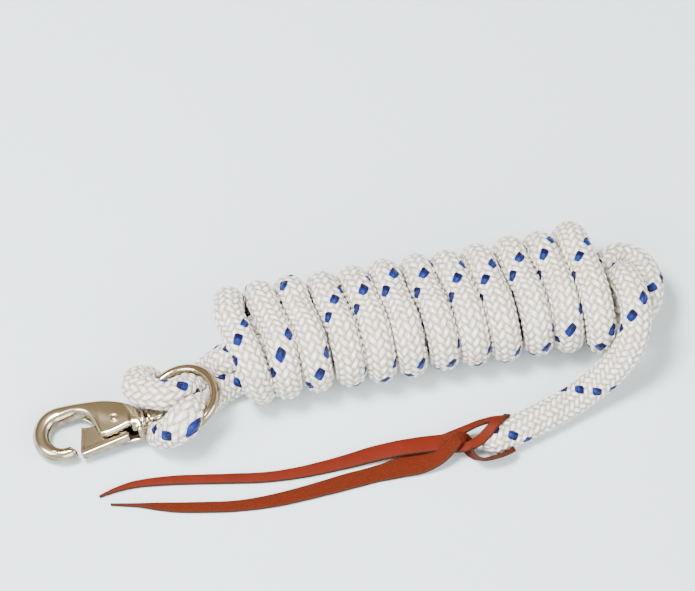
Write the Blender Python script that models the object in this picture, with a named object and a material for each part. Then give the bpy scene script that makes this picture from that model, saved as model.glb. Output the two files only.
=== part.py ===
"""Lead rope for leading a horse.

A braided rope wound into a flat hank of twelve turns round its own doubled core. One end is an eye
hitched to the ring of a swivel bull snap, the other passes up through the core's end loop and carries a
leather popper. Lengths are in millimetres in the tables below and become metres in point().

Hank frame: X along the hank with the snap at -X, Y to the back, Z up, floor at Z = 0, and the middle of
the twelve turns at X = Y = 0. HANK_X and HANK_Y move that middle so that the whole object is centred.
"""
import math

import bmesh
import bpy
from mathutils import Matrix, Vector

MM = 0.001
HANK_X = 38.5
HANK_Y = 26.35
GAP = 0.35                      # clearance between neighbouring pieces

# rope
ROPE_D = 16.0
ROPE_R = ROPE_D / 2
TURNS = 12
PITCH = 16.2                    # one turn to the next
CORE_HALF = ROPE_R              # the two core runs lie at Y = +-CORE_HALF
HANK_Z = 23.4                   # height of the core; the turns' undersides are pressed flat on the floor
WRAP_R = ROPE_D                 # turn centreline to core centreline
TUBE_R = 7.4                    # plain tubes stand a little inside the real rope's surface
TURN_LEAN = 2.6                 # the upper side of each turn is carried back towards the snap

# snap, in its own frame: origin at the collar, hook towards -X, gate on the -Y side, Z across it
SNAP_POS = (-146.3, -28.4, 13.0)
SNAP_YAW = 0.0                  # degrees
SNAP_PITCH = -9.0               # the hook end rests on the floor
HOOK_X, HOOK_Y = -42.0, 3.75
HOOK_R = 11.35                  # centreline of the hook's bend
HOOK_ROOT, HOOK_TIP = 4.3, 3.3  # radius of the hook's bar at its root and tip
BODY_HALF = 6.2                 # half the body's thickness
POCKET_HALF = 3.4               # half the gate channel's width
GATE_HALF = 3.0                 # half the gate's width
PIN_X, PIN_Y = -14.4, 3.0
PIN_R = 1.6
PIN_HOLE_R = 2.0
COLLAR_R = 6.6
COLLAR_HOLE_R = 3.1
SOCKET_R = 5.3                  # room inside the collar for the eye's peened head

# swivel eye
RING_POS = (-127.4, -23.0, 18.4)
RING_R = 16.9                   # ring centreline
RING_WIRE = 2.5
EYE_ROLL = -6.0                 # degrees: the front of the ring is tipped up
STEM_R = 2.0

# gate spring, in the snap's frame
SPRING_X = -21.2
SPRING_R = 2.0
SPRING_WIRE = 0.35
SPRING_FEET = (4.8, 10.8)

# leather
STRAP_T = 2.2

ROPE_WHITE = (0.86, 0.84, 0.80, 1)
NICKEL = (0.66, 0.60, 0.50, 1)
LEATHER = (0.45, 0.10, 0.04, 1)
STEEL = (0.45, 0.45, 0.46, 1)


def clear_scene():
    for item in list(bpy.data.objects):
        bpy.data.objects.remove(item, do_unlink=True)


def point(x, y, z):
    """A place in the hank frame, in millimetres, as metres in the object's frame."""
    return Vector(((x + HANK_X) * MM, (y + HANK_Y) * MM, z * MM))


def material(name, colour, roughness, metallic):
    shader_material = bpy.data.materials.get(name)
    if shader_material is None:
        shader_material = bpy.data.materials.new(name)
        shader_material.use_nodes = True
        shader = shader_material.node_tree.nodes["Principled BSDF"]
        shader.inputs["Base Color"].default_value = colour
        shader.inputs["Roughness"].default_value = roughness
        shader.inputs["Metallic"].default_value = metallic
        shader_material.diffuse_color = colour
    return shader_material


def rope_material():
    return material("rope_white", ROPE_WHITE, 0.45, 0.0)


def nickel_material():
    return material("nickel_plate", NICKEL, 0.18, 1.0)


def steel_material():
    return material("spring_steel", STEEL, 0.3, 1.0)


def leather_material():
    return material("popper_leather", LEATHER, 0.6, 0.0)


def add_object(name, mesh, surface):
    item = bpy.data.objects.new(name, mesh)
    bpy.context.scene.collection.objects.link(item)
    mesh.materials.clear()
    mesh.materials.append(surface)
    return item


def mesh_from(name, vertices, faces):
    mesh = bpy.data.meshes.new(name)
    mesh.from_pydata(vertices, [], faces)
    mesh.validate()
    return mesh


def smooth(mesh, degrees=35):
    mesh.shade_smooth()
    mesh.set_sharp_from_angle(angle=math.radians(degrees))


def spline(points, step):
    """Evenly spaced values on a centripetal Catmull-Rom curve through tuples of any length."""
    knots = [Vector(p) for p in points]
    ends = [knots[0] * 2 - knots[1]] + knots + [knots[-1] * 2 - knots[-2]]
    fine = []
    for i in range(1, len(ends) - 2):
        p0, p1, p2, p3 = ends[i - 1:i + 3]
        t0 = 0.0
        t1 = t0 + math.sqrt(max((p1 - p0).length, 1e-6))
        t2 = t1 + math.sqrt(max((p2 - p1).length, 1e-6))
        t3 = t2 + math.sqrt(max((p3 - p2).length, 1e-6))
        for k in range(24):
            t = t1 + (t2 - t1) * k / 24
            a1 = p0 * ((t1 - t) / (t1 - t0)) + p1 * ((t - t0) / (t1 - t0))
            a2 = p1 * ((t2 - t) / (t2 - t1)) + p2 * ((t - t1) / (t2 - t1))
            a3 = p2 * ((t3 - t) / (t3 - t2)) + p3 * ((t - t2) / (t3 - t2))
            b1 = a1 * ((t2 - t) / (t2 - t0)) + a2 * ((t - t0) / (t2 - t0))
            b2 = a2 * ((t3 - t) / (t3 - t1)) + a3 * ((t - t1) / (t3 - t1))
            fine.append(b1 * ((t2 - t) / (t2 - t1)) + b2 * ((t - t1) / (t2 - t1)))
    fine.append(knots[-1])
    lengths = [0.0]
    for a, b in zip(fine, fine[1:]):
        lengths.append(lengths[-1] + (b.to_3d() - a.to_3d()).length)
    count = max(2, round(lengths[-1] / step))
    out, j = [], 0
    for i in range(count + 1):
        target = lengths[-1] * i / count
        while j < len(lengths) - 2 and lengths[j + 1] < target:
            j += 1
        span = max(lengths[j + 1] - lengths[j], 1e-9)
        out.append(fine[j].lerp(fine[j + 1], (target - lengths[j]) / span))
    return out


def rope_tube(name, samples):
    """A plain rope stretch: a bevelled curve through (x, y, z, radius) in the hank frame."""
    curve = bpy.data.curves.new(name, "CURVE")
    curve.dimensions = "3D"
    curve.bevel_depth = MM
    curve.bevel_resolution = 3
    curve.use_fill_caps = True
    line = curve.splines.new("POLY")
    line.points.add(len(samples) - 1)
    for spot, sample in zip(line.points, samples):
        spot.co = (*point(*sample[:3]), 1)
        spot.radius = sample[3]
    curve.materials.append(rope_material())
    item = bpy.data.objects.new(name, curve)
    bpy.context.scene.collection.objects.link(item)
    return item


# ---------------------------------------------------------------- rope

# the legs of the hitched eye and its bight under the snap's neck: x, y, z, radius
HITCH_ROUTE = [
    (-101.6, -4.6, 17.6, 7.4), (-105.0, -4.6, 16.4, 7.3), (-110.0, -5.6, 11.6, 6.9), (-116.0, -9.2, 8.6, 6.2),
    (-121.0, -13.8, 11.0, 5.7), (-123.4, -16.8, 18.5, 5.5), (-127.0, -17.8, 26.0, 6.4), (-134.0, -16.6, 31.0, 7.2),
    (-142.0, -12.8, 30.5, 7.4), (-148.5, -6.5, 24.5, 7.4), (-150.0, -3.6, 15.0, 6.6), (-145.8, -8.4, 7.4, 5.4),
    (-140.4, -17.0, 5.4, 5.0), (-139.4, -25.0, 5.4, 5.0), (-139.8, -34.0, 6.0, 5.0), (-139.8, -42.4, 10.6, 5.6),
    (-134.8, -48.2, 19.6, 6.5), (-128.8, -47.0, 28.2, 6.7), (-124.4, -40.4, 32.4, 6.5), (-122.2, -32.8, 28.8, 5.7),
    (-121.8, -28.8, 20.0, 5.2), (-117.4, -26.4, 12.6, 5.8), (-112.0, -23.8, 8.6, 6.5), (-106.4, -22.2, 7.8, 7.2),
    (-101.2, -21.8, 7.8, 7.4),
]

# the core's end loop at the right-hand end of the hank
LOOP_ROUTE = [
    (96.0, 8.0, 23.4, 7.4), (99.6, 8.6, 23.5, 6.9), (105.2, 12.4, 24.0, 6.9), (112.4, 10.8, 24.0, 7.0),
    (117.4, 3.6, 24.0, 7.0), (118.6, -6.0, 24.0, 7.0), (115.6, -15.6, 24.0, 7.0), (109.0, -20.6, 24.0, 6.8),
    (103.6, -18.4, 24.0, 6.2), (101.8, -11.6, 23.8, 4.9), (98.6, -8.2, 23.4, 4.9), (92.0, -8.0, 23.4, 6.6),
]

# the working end: from under the last turn, up through the loop, over it and down to the floor
TAIL_ROUTE = [
    (102.0, 3.0, 7.6, 6.8), (106.2, 2.4, 8.4, 6.6), (108.6, 0.2, 13.6, 5.8), (106.9, -2.0, 20.5, 4.9),
    (106.0, -2.6, 27.0, 5.0), (105.4, -5.4, 34.2, 6.2), (106.2, -13.0, 39.6, 7.1), (107.0, -24.0, 40.2, 7.4),
    (105.0, -34.5, 35.4, 7.4), (99.8, -42.4, 27.4, 7.4), (91.5, -47.4, 19.5, 7.4), (80.5, -51.6, 12.6, 7.4),
    (68.7, -56.3, 8.6, 7.4), (51.4, -62.4, 7.8, 7.4), (33.2, -67.8, 7.8, 7.3), (25.0, -70.2, 7.8, 7.1),
    (21.7, -71.1, 7.8, 6.2),
]


def stadium(count, half, radius):
    """Points (y, z) of a stadium, flat sides up and down, starting at the back and going over the top."""
    flat, arc = 2 * half, math.pi * radius
    total = 2 * (flat + arc)
    outline = []
    for i in range(count):
        s = (total * i / count + arc / 2) % total
        if s < arc:
            a = -math.pi / 2 + s / radius
            outline.append((half + radius * math.cos(a), radius * math.sin(a)))
        elif s < arc + flat:
            outline.append((half - (s - arc), radius))
        elif s < 2 * arc + flat:
            a = math.pi / 2 + (s - arc - flat) / radius
            outline.append((-half + radius * math.cos(a), radius * math.sin(a)))
        else:
            outline.append((-half + (s - 2 * arc - flat), -radius))
    return outline


def rope_wraps():
    """The twelve turns as one ribbed sleeve, open along its middle for the core runs."""
    around, per_turn = 28, 6
    stations = []
    for i in range(TURNS * per_turn + 1):
        t = (i % per_turn) / per_turn
        x = (i / per_turn - TURNS / 2) * PITCH
        from_crest = PITCH / 2 - abs(t - round(t)) * PITCH
        bulge = math.sqrt(max(0.0, ROPE_R ** 2 - (0.86 * from_crest) ** 2))
        stations.append((x, WRAP_R + bulge))
    rings = []
    for x, radius in stations:
        ring = []
        for y, z in stadium(around, CORE_HALF, radius):
            lean = -TURN_LEAN / 2 * math.sin(math.atan2(z, -y) - math.radians(30))
            ring.append(point(x + lean, y, max(HANK_Z + z, 0.0)))
        rings.append(ring)
    bore = [(y, z) for y, z in stadium(around, CORE_HALF, ROPE_R + GAP)]
    first, last = stations[0][0], stations[-1][0]
    vertices = [v for ring in rings for v in ring]
    inner_start = len(vertices)
    for x in (first, last):
        vertices += [point(x, y, HANK_Z + z) for y, z in bore]
    faces = []
    for i in range(len(rings) - 1):
        for j in range(around):
            k = (j + 1) % around
            a, b = i * around, (i + 1) * around
            faces.append((a + j, b + j, b + k, a + k))
    tail = (len(rings) - 1) * around
    for j in range(around):
        k = (j + 1) % around
        faces.append((inner_start + k, inner_start + around + k, inner_start + around + j, inner_start + j))
        faces.append((j, k, inner_start + k, inner_start + j))
        faces.append((tail + k, tail + j, inner_start + around + j, inner_start + around + k))
    mesh = mesh_from("rope_wraps", vertices, faces)
    work = bmesh.new()
    work.from_mesh(mesh)
    bmesh.ops.recalc_face_normals(work, faces=work.faces)
    work.to_mesh(mesh)
    work.free()
    smooth(mesh, 50)
    return add_object("rope_wraps", mesh, rope_material())


def rope():
    rope_wraps()
    rope_tube("rope_eye_hitch", spline(HITCH_ROUTE, 4.0))
    left = 1.0 - TURNS * PITCH / 2
    back, front = (left, CORE_HALF, HANK_Z, TUBE_R), (left, -CORE_HALF, HANK_Z, TUBE_R)
    rope_tube("rope_core_runs", [back] + spline(LOOP_ROUTE, 3.8) + [front])
    rope_tube("rope_tail", spline(TAIL_ROUTE, 4.4))


# ---------------------------------------------------------------- snap

def boolean(target, tool, operation):
    """Apply a Boolean to target and remove the tool."""
    cut = target.modifiers.new(operation.lower(), "BOOLEAN")
    cut.operation = operation
    cut.solver = "MANIFOLD"
    cut.object = tool
    bpy.context.view_layer.update()
    graph = bpy.context.evaluated_depsgraph_get()
    result = bpy.data.meshes.new_from_object(target.evaluated_get(graph))
    target.modifiers.clear()
    target.data = result
    bpy.data.objects.remove(tool, do_unlink=True)


def prism(name, outline, half, bevel=0.0):
    """A flat outline (x, y) in millimetres extruded to +-half along Z, with rounded edges if asked."""
    work = bmesh.new()
    bottom = [work.verts.new((x * MM, y * MM, -half * MM)) for x, y in outline]
    top = [work.verts.new((x * MM, y * MM, half * MM)) for x, y in outline]
    work.faces.new(top)
    work.faces.new(list(reversed(bottom)))
    count = len(outline)
    for i in range(count):
        j = (i + 1) % count
        work.faces.new((bottom[i], bottom[j], top[j], top[i]))
    bmesh.ops.recalc_face_normals(work, faces=work.faces)
    if bevel:
        rims = [e for e in work.edges if abs(e.verts[0].co.z - e.verts[1].co.z) < 1e-7]
        bmesh.ops.bevel(work, geom=rims, offset=bevel * MM, segments=2, profile=0.6, affect="EDGES")
    mesh = bpy.data.meshes.new(name)
    work.to_mesh(mesh)
    work.free()
    return add_object(name, mesh, nickel_material())


def rod(name, start, end, radii, sides=16, surface=None):
    """A turned piece along a line: radii is a list of (distance, radius) in millimetres."""
    axis = (Vector(end) - Vector(start)).normalized()
    turn = axis.to_track_quat("Z", "Y").to_matrix()
    vertices, faces = [], []
    for distance, radius in radii:
        for i in range(sides):
            a = 2 * math.pi * i / sides
            place = Vector(start) + turn @ Vector((radius * math.cos(a), radius * math.sin(a), distance))
            vertices.append(place * MM)
    for r in range(len(radii) - 1):
        for i in range(sides):
            j = (i + 1) % sides
            a, b = r * sides, (r + 1) * sides
            faces.append((a + i, a + j, b + j, b + i))
    faces.append(tuple(reversed(range(sides))))
    faces.append(tuple(range((len(radii) - 1) * sides, len(radii) * sides)))
    mesh = mesh_from(name, vertices, faces)
    smooth(mesh)
    return add_object(name, mesh, surface or nickel_material())


def hole(name, start, end, radius, sides):
    """A round cutter from start to end."""
    length = (Vector(end) - Vector(start)).length
    return rod(name, start, end, [(0, radius), (length, radius)], sides)


def bar(name, route, step, sides=12, closed=False):
    """A round bar through (x, y, z, radius), in millimetres, as a mesh with domed or joined ends."""
    samples = spline(route, step) if not closed else [Vector(p) for p in route]
    count = len(samples)
    vertices, faces = [], []
    normal = Vector((0, 0, 1))
    for i, sample in enumerate(samples):
        before = samples[i - 1] if closed or i else sample
        after = samples[(i + 1) % count] if closed or i < count - 1 else sample
        tangent = (after.to_3d() - before.to_3d()).normalized()
        side = normal.cross(tangent).normalized()
        up = tangent.cross(side)
        for k in range(sides):
            a = 2 * math.pi * k / sides
            place = sample.to_3d() + (side * math.cos(a) + up * math.sin(a)) * sample[3]
            vertices.append(place * MM)
    for i in range(count if closed else count - 1):
        a, b = i * sides, ((i + 1) % count) * sides
        for k in range(sides):
            j = (k + 1) % sides
            faces.append((a + k, b + k, b + j, a + j))
    if not closed:
        faces.append(tuple(range(sides)))
        faces.append(tuple(reversed(range((count - 1) * sides, count * sides))))
    mesh = mesh_from(name, vertices, faces)
    work = bmesh.new()
    work.from_mesh(mesh)
    bmesh.ops.recalc_face_normals(work, faces=work.faces)
    work.to_mesh(mesh)
    work.free()
    smooth(mesh)
    return add_object(name, mesh, nickel_material())


def arc(cx, cy, radius, start, end, count):
    """Points on an arc, angles in degrees."""
    return [(cx + radius * math.cos(math.radians(start + (end - start) * i / count)),
             cy + radius * math.sin(math.radians(start + (end - start) * i / count))) for i in range(count + 1)]


def snap_matrix():
    place = Matrix.Translation(point(*SNAP_POS))
    return place @ Matrix.Rotation(math.radians(SNAP_YAW), 4, "Z") @ Matrix.Rotation(math.radians(SNAP_PITCH), 4, "Y")


BODY_OUTLINE = (
    [(0.0, -5.6), (0.0, 5.6), (-2.6, 7.4), (-6.0, 9.8), (-11.0, 12.6), (-17.0, 14.7), (-26.0, 16.7),
     (-34.0, 18.2), (-40.8, 18.9)]
    + arc(HOOK_X, HOOK_Y, 7.5, 80, 64, 2)
    + [(-34.6, 11.0), (-31.0, 10.6), (-26.8, 6.4), (-24.8, 0.8), (-22.8, -3.9), (-7.2, -3.6), (-5.4, -4.6),
       (-5.2, -8.0), (-3.0, -8.2), (-0.8, -7.2)]
)
POCKET_OUTLINE = [
    (-35.4, -20.0), (-4.6, -20.0), (-4.6, 4.4), (-8.0, 7.6), (-14.0, 10.4), (-24.0, 12.2), (-35.4, 12.0),
]
GATE_OUTLINE = (
    [(-32.2, 4.2), (-34.9, -9.6), (-34.6, -11.0), (-33.6, -11.3), (-11.6, -7.6)]
    + arc(-10.6, -5.6, 1.9, -100, 60, 4)
    + [(-14.0, -3.8), (-12.2, 0.2)]
    + arc(PIN_X, PIN_Y, 3.6, -20, 130, 5)
    + [(-20.0, 3.6), (-26.0, 3.4)]
)


def snap_body():
    body = prism("snap_body", BODY_OUTLINE, BODY_HALF, 2.2)
    start, end = math.radians(62), math.radians(289)
    bend = []
    for i in range(19):
        t = i / 18
        a = start + (end - start) * t
        wire = HOOK_ROOT + (HOOK_TIP - HOOK_ROOT) * t
        bend.append((HOOK_X + HOOK_R * math.cos(a), HOOK_Y + HOOK_R * math.sin(a), 0.0, wire))
    boolean(body, bar("hook", bend, 2.6), "UNION")
    collar = [(0, 7.2), (5.0, COLLAR_R + 0.4), (7.6, COLLAR_R)]
    boolean(body, rod("collar", (-7.0, 0, 0), (0.6, 0, 0), collar, 24), "UNION")
    boolean(body, prism("pocket", POCKET_OUTLINE, POCKET_HALF), "DIFFERENCE")
    boolean(body, hole("socket", (-8.8, 0, 0), (-2.4, 0, 0), SOCKET_R, 20), "DIFFERENCE")
    boolean(body, hole("stem_hole", (-4.0, 0, 0), (2.0, 0, 0), COLLAR_HOLE_R, 20), "DIFFERENCE")
    boolean(body, hole("pin_hole", (PIN_X, PIN_Y, -9), (PIN_X, PIN_Y, 9), PIN_HOLE_R, 16), "DIFFERENCE")
    smooth(body.data)
    body.matrix_world = snap_matrix()


def on_pin(item):
    """Give a piece that turns on the gate pin an origin on the pin's axis."""
    shift = Vector((PIN_X, PIN_Y, 0)) * MM
    item.data.transform(Matrix.Translation(-shift))
    item.matrix_world = snap_matrix() @ Matrix.Translation(shift)


def snap_gate():
    gate = prism("snap_gate", GATE_OUTLINE, GATE_HALF, 0.5)
    boolean(gate, hole("hole", (PIN_X, PIN_Y, -9), (PIN_X, PIN_Y, 9), PIN_HOLE_R, 16), "DIFFERENCE")
    smooth(gate.data)
    on_pin(gate)
    half = BODY_HALF
    head = [(0, 1.7), (0.5, 2.6), (0.9, 2.6), (0.9, PIN_R), (1.5 + 2 * half, PIN_R), (1.5 + 2 * half, 2.6),
            (1.9 + 2 * half, 2.6), (2.4 + 2 * half, 1.7)]
    on_pin(rod("gate_pin", (PIN_X, PIN_Y, -half - 1.2), (PIN_X, PIN_Y, half), head, 16))


def swivel_pivot():
    """The middle of the collar's hole, about which the eye leans."""
    return snap_matrix() @ (Vector((-1.2, 0, 0)) * MM)


def eye_matrix():
    pivot = swivel_pivot()
    along = (point(*RING_POS) - pivot).normalized()
    across = Vector((0, 0, 1)).cross(along).normalized()
    up = along.cross(across)
    frame = Matrix((along, across, up)).transposed().to_4x4()
    return Matrix.Translation(pivot) @ frame @ Matrix.Rotation(math.radians(EYE_ROLL), 4, "X")


def swivel_eye():
    """D-shaped ring, square base, round shoulder, stem and peened head, in the eye's own frame."""
    reach = (point(*RING_POS) - swivel_pivot()).length / MM
    ring = []
    for x, y in arc(0, 0, RING_R, -136, 136, 26):
        ring.append((reach + x, y, 0.0, RING_WIRE))
    base_x = reach + RING_R * math.cos(math.radians(136)) - 1.4
    for y in (9.0, 5.0, 0.0, -5.0, -9.0):
        ring.append((base_x, y, 0.0, RING_WIRE))
    eye = bar("swivel_eye", ring, 3.0, 10, closed=True)
    near = base_x - RING_WIRE
    block = prism("block", [(near - 1.6, -3.4), (base_x + 1.6, -4.4), (base_x + 1.6, 4.4), (near - 1.6, 3.4)], 3.1, 0.7)
    boolean(eye, block, "UNION")
    far = 5.4
    shoulder = far + near - 2.0
    turned = [(0, 2.6), (0.7, 3.6), (2.3, 3.6), (2.3, STEM_R), (shoulder, STEM_R), (shoulder, 4.3),
              (shoulder + 1.3, 4.3), (shoulder + 1.3, 2.8), (far + near + 0.6, 2.8)]
    boolean(eye, rod("stem", (-far, 0, 0), (10, 0, 0), turned, 18), "UNION")
    smooth(eye.data)
    eye.matrix_world = eye_matrix()


def gate_spring():
    """Light compression coil between the gate's back and the roof of its channel."""
    turns, per_turn = 5, 9
    low, high = SPRING_FEET
    coil = []
    for i in range(turns * per_turn + 1):
        a = 2 * math.pi * i / per_turn
        y = low + (high - low) * i / (turns * per_turn)
        coil.append((SPRING_X + SPRING_R * math.cos(a), y, SPRING_R * math.sin(a), SPRING_WIRE))
    spring = bar("gate_spring", coil, 1.6, 6)
    spring.data.materials.clear()
    spring.data.materials.append(steel_material())
    spring.matrix_world = snap_matrix()


# ---------------------------------------------------------------- leather popper

def strap(name, stations, step, margin=0.0):
    """A flat strap through (x, y, z, normal x, y, z, width) in the hank frame, grown by a margin all round."""
    samples = spline(stations, step)
    vertices, faces = [], []
    count = len(samples)
    for i, sample in enumerate(samples):
        before = samples[max(i - 1, 0)].to_3d()
        after = samples[min(i + 1, count - 1)].to_3d()
        tangent = (after - before).normalized()
        side = Vector(sample[3:6]).cross(tangent).normalized()
        normal = tangent.cross(side)
        half = max(sample[6], 1.2) / 2 + margin
        for u, v in ((-half, -1), (half, -1), (half, 1), (-half, 1)):
            place = sample.to_3d() + side * u + normal * (v * (STRAP_T / 2 + margin))
            vertices.append(point(*place))
    for i in range(count - 1):
        a, b = i * 4, (i + 1) * 4
        for k in range(4):
            j = (k + 1) % 4
            faces.append((a + k, b + k, b + j, a + j))
    faces.append((0, 1, 2, 3))
    faces.append(tuple(range(count * 4 - 1, count * 4 - 5, -1)))
    mesh = mesh_from(name, vertices, faces)
    work = bmesh.new()
    work.from_mesh(mesh)
    bmesh.ops.recalc_face_normals(work, faces=work.faces)
    work.to_mesh(mesh)
    work.free()
    return add_object(name, mesh, leather_material())


# x, y, z, normal x, y, z, width: the grain side faces the normal
UPPER_TAIL = [
    (-177.4, -60.6, 1.5, 0, 0, 1, 1.4), (-171.5, -59.6, 1.5, 0, 0, 1, 4.0), (-160.7, -57.6, 1.5, 0, 0, 1, 5.4),
    (-150.3, -57.3, 1.5, 0, 0, 1, 6.2), (-125.1, -60.6, 1.5, 0, 0, 1, 7.2), (-105.0, -63.6, 1.5, 0, 0, 1, 7.8),
    (-84.7, -65.6, 1.6, 0, 0, 1, 8.8), (-58.7, -65.4, 1.8, 0, 0, 1, 9.8), (-32.6, -63.4, 2.8, 0, 0.1, 1, 10.6),
    (-14.0, -62.6, 5.2, 0, 0.1, 1, 11.0), (-3.0, -63.6, 7.6, 0, 0.0, 1, 11.0),
]
BAND_BACK = [
    (-5.0, -60.8, 7.4, 0, 0, 1, 4.6), (1.0, -60.2, 8.8, 0, 0.1, 1, 4.6), (8.2, -59.4, 11.4, 0, 0.2, 1, 4.6),
    (16.0, -58.0, 13.4, 0, 0.4, 1, 4.8), (23.0, -57.2, 13.6, 0, 0.8, 0.6, 5.0), (29.0, -57.4, 12.0, 0, 1, 0.1, 5.2),
]
BAND_FRONT = [
    (-5.0, -66.2, 7.4, 0, 0, 1, 4.6), (1.0, -68.4, 8.2, 0, 0, 1, 4.6), (8.0, -69.6, 10.4, 0, 0, 1, 4.6),
    (15.0, -67.0, 15.6, 0.1, 0, 1, 4.6), (21.5, -61.4, 17.4, 0, 0.5, 0.9, 4.6), (25.5, -57.6, 15.0, 0, 0.9, 0.4, 4.6),
    (29.0, -57.4, 12.0, 0, 1, 0.1, 5.2),
]
THROUGH = [
    (27.0, -57.4, 8.6, 0, 1, 0, 11.0), (31.2, -57.6, 8.0, -0.2, 1, 0, 11.0), (34.2, -60.4, 7.8, -1, 0.3, 0, 10.6),
    (34.4, -67.6, 7.8, -1, 0, 0, 10.4), (34.4, -74.6, 7.8, -1, -0.3, 0, 10.6), (31.4, -77.8, 7.8, -0.2, -1, 0, 10.8),
    (24.0, -79.6, 7.8, 0.2, -1, 0, 10.8), (17.0, -80.4, 7.8, -0.4, -1, 0, 10.6), (13.0, -76.6, 7.6, -1, -0.2, 0.1, 10.2),
    (12.6, -71.6, 6.8, -0.8, 0.2, 0.6, 9.6), (10.6, -66.2, 5.4, -0.3, 0, 1, 8.8), (6.4, -64.2, 8.4, 0.5, 0, 0.9, 6.4),
    (2.4, -64.6, 10.6, 0.1, 0.2, 1, 6.2), (-2.4, -67.6, 11.6, -0.3, 0, 1, 7.4), (-8.0, -72.4, 8.0, -0.6, 0, 0.9, 9.6),
    (-16.0, -74.4, 3.4, -0.2, 0, 1, 10.8), (-34.7, -76.6, 1.5, 0, 0, 1, 10.6), (-61.1, -78.4, 1.5, 0, 0, 1, 10.0),
    (-87.4, -80.2, 1.5, 0, 0, 1, 9.0), (-108.0, -79.4, 1.5, 0, 0, 1, 8.2), (-128.2, -76.6, 1.5, 0, 0, 1, 7.2),
    (-153.1, -71.4, 1.5, 0, 0, 1, 5.0), (-163.0, -68.9, 1.5, 0, 0, 1, 3.6), (-172.4, -67.0, 1.5, 0, 0, 1, 1.4),
]


# the slot through the rope, seen from above: it follows the strap round both sides of the braid
SLOT_OUTLINE = [
    (20.0, -50.0), (37.0, -50.0), (36.4, -62.0), (36.6, -75.4), (33.6, -82.0), (20.0, -84.0), (16.0, -78.6),
    (24.0, -77.9), (29.8, -76.1), (32.4, -73.6), (32.5, -61.6), (30.2, -59.3), (20.0, -58.9),
]
SLOT_HALF = 5.9


def leather_popper():
    """One strap: its slit upper tail, the two bands beside the slit, and the end threaded through."""
    popper = strap("leather_popper", UPPER_TAIL, 9.0)
    boolean(popper, strap("band_back", BAND_BACK, 4.0), "UNION")
    boolean(popper, strap("band_front", BAND_FRONT, 3.5), "UNION")
    boolean(popper, strap("through", THROUGH, 4.0), "UNION")


def slot_in_tail():
    """The braid is parted where the popper passes through the rope."""
    tail = bpy.data.objects["rope_tail"]
    bpy.context.view_layer.update()
    graph = bpy.context.evaluated_depsgraph_get()
    mesh = bpy.data.meshes.new_from_object(tail.evaluated_get(graph))
    bpy.data.objects.remove(tail, do_unlink=True)
    work = bmesh.new()
    work.from_mesh(mesh)
    bmesh.ops.remove_doubles(work, verts=work.verts, dist=0.01 * MM)
    bmesh.ops.recalc_face_normals(work, faces=work.faces)
    work.to_mesh(mesh)
    work.free()
    solid = add_object("rope_tail", mesh, rope_material())
    slot = prism("slot", SLOT_OUTLINE, SLOT_HALF)
    slot.matrix_world = Matrix.Translation(point(0, 0, ROPE_R))
    boolean(solid, slot, "DIFFERENCE")
    smooth(solid.data, 50)


clear_scene()
rope()
snap_body()
snap_gate()
gate_spring()
swivel_eye()
leather_popper()
slot_in_tail()
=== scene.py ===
"""Lead rope: the looks of the braided rope, the snap and the leather popper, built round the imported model."""
import math

import bmesh
import bpy
import numpy as np
from mathutils import Matrix, Vector


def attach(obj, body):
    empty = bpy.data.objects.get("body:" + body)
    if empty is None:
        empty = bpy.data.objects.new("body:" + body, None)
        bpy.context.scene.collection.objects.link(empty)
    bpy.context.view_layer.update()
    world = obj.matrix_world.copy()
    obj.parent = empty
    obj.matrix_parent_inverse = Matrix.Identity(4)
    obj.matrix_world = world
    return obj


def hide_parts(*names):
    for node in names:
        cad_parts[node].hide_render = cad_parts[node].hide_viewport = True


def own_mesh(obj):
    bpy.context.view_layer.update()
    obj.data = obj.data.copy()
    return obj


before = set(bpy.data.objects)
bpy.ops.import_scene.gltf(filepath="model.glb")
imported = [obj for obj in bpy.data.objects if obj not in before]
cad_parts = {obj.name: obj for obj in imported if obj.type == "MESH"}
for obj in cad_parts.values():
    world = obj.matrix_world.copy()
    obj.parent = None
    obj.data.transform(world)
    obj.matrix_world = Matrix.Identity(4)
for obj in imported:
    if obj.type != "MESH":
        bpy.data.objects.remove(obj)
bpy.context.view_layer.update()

MM = 0.001
HANK = np.array([38.5, 26.35, 0.0])     # the middle of the twelve turns, in millimetres
VIEW_AZIMUTH, VIEW_ELEVATION = -11.2, 60.0
VIEW_SPAN = 353.5                       # millimetres across the view at the hank
LENS, SENSOR = 250.0, 36.0
LOOK_RIGHT, LOOK_UP, LOOK_Z = -35.9, 8.9, 25.0


def place(points):
    """Hank-frame millimetres to metres in the model's frame."""
    return (np.asarray(points, float) + HANK) * MM


# ---------------------------------------------------------------- camera

def make_camera():
    a, e = math.radians(VIEW_AZIMUTH), math.radians(VIEW_ELEVATION)
    right = np.array([math.cos(a), math.sin(a), 0.0])
    back = np.array([math.sin(a) * math.cos(e), -math.cos(a) * math.cos(e), math.sin(e)])
    up = np.cross(back, right)
    target = np.array([0, 0, LOOK_Z]) + right * LOOK_RIGHT + up * LOOK_UP
    spot = target + back * VIEW_SPAN * LENS / SENSOR
    data = bpy.data.cameras.new("camera")
    data.lens, data.sensor_width = LENS, SENSOR
    data.clip_start, data.clip_end = 0.05, 20
    camera = bpy.data.objects.new("camera", data)
    bpy.context.scene.collection.objects.link(camera)
    turn = Matrix((right, up, back)).transposed().to_4x4()
    camera.matrix_world = Matrix.Translation(Vector(place(spot))) @ turn
    bpy.context.scene.camera = camera


make_camera()


# ---------------------------------------------------------------- curves

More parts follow.
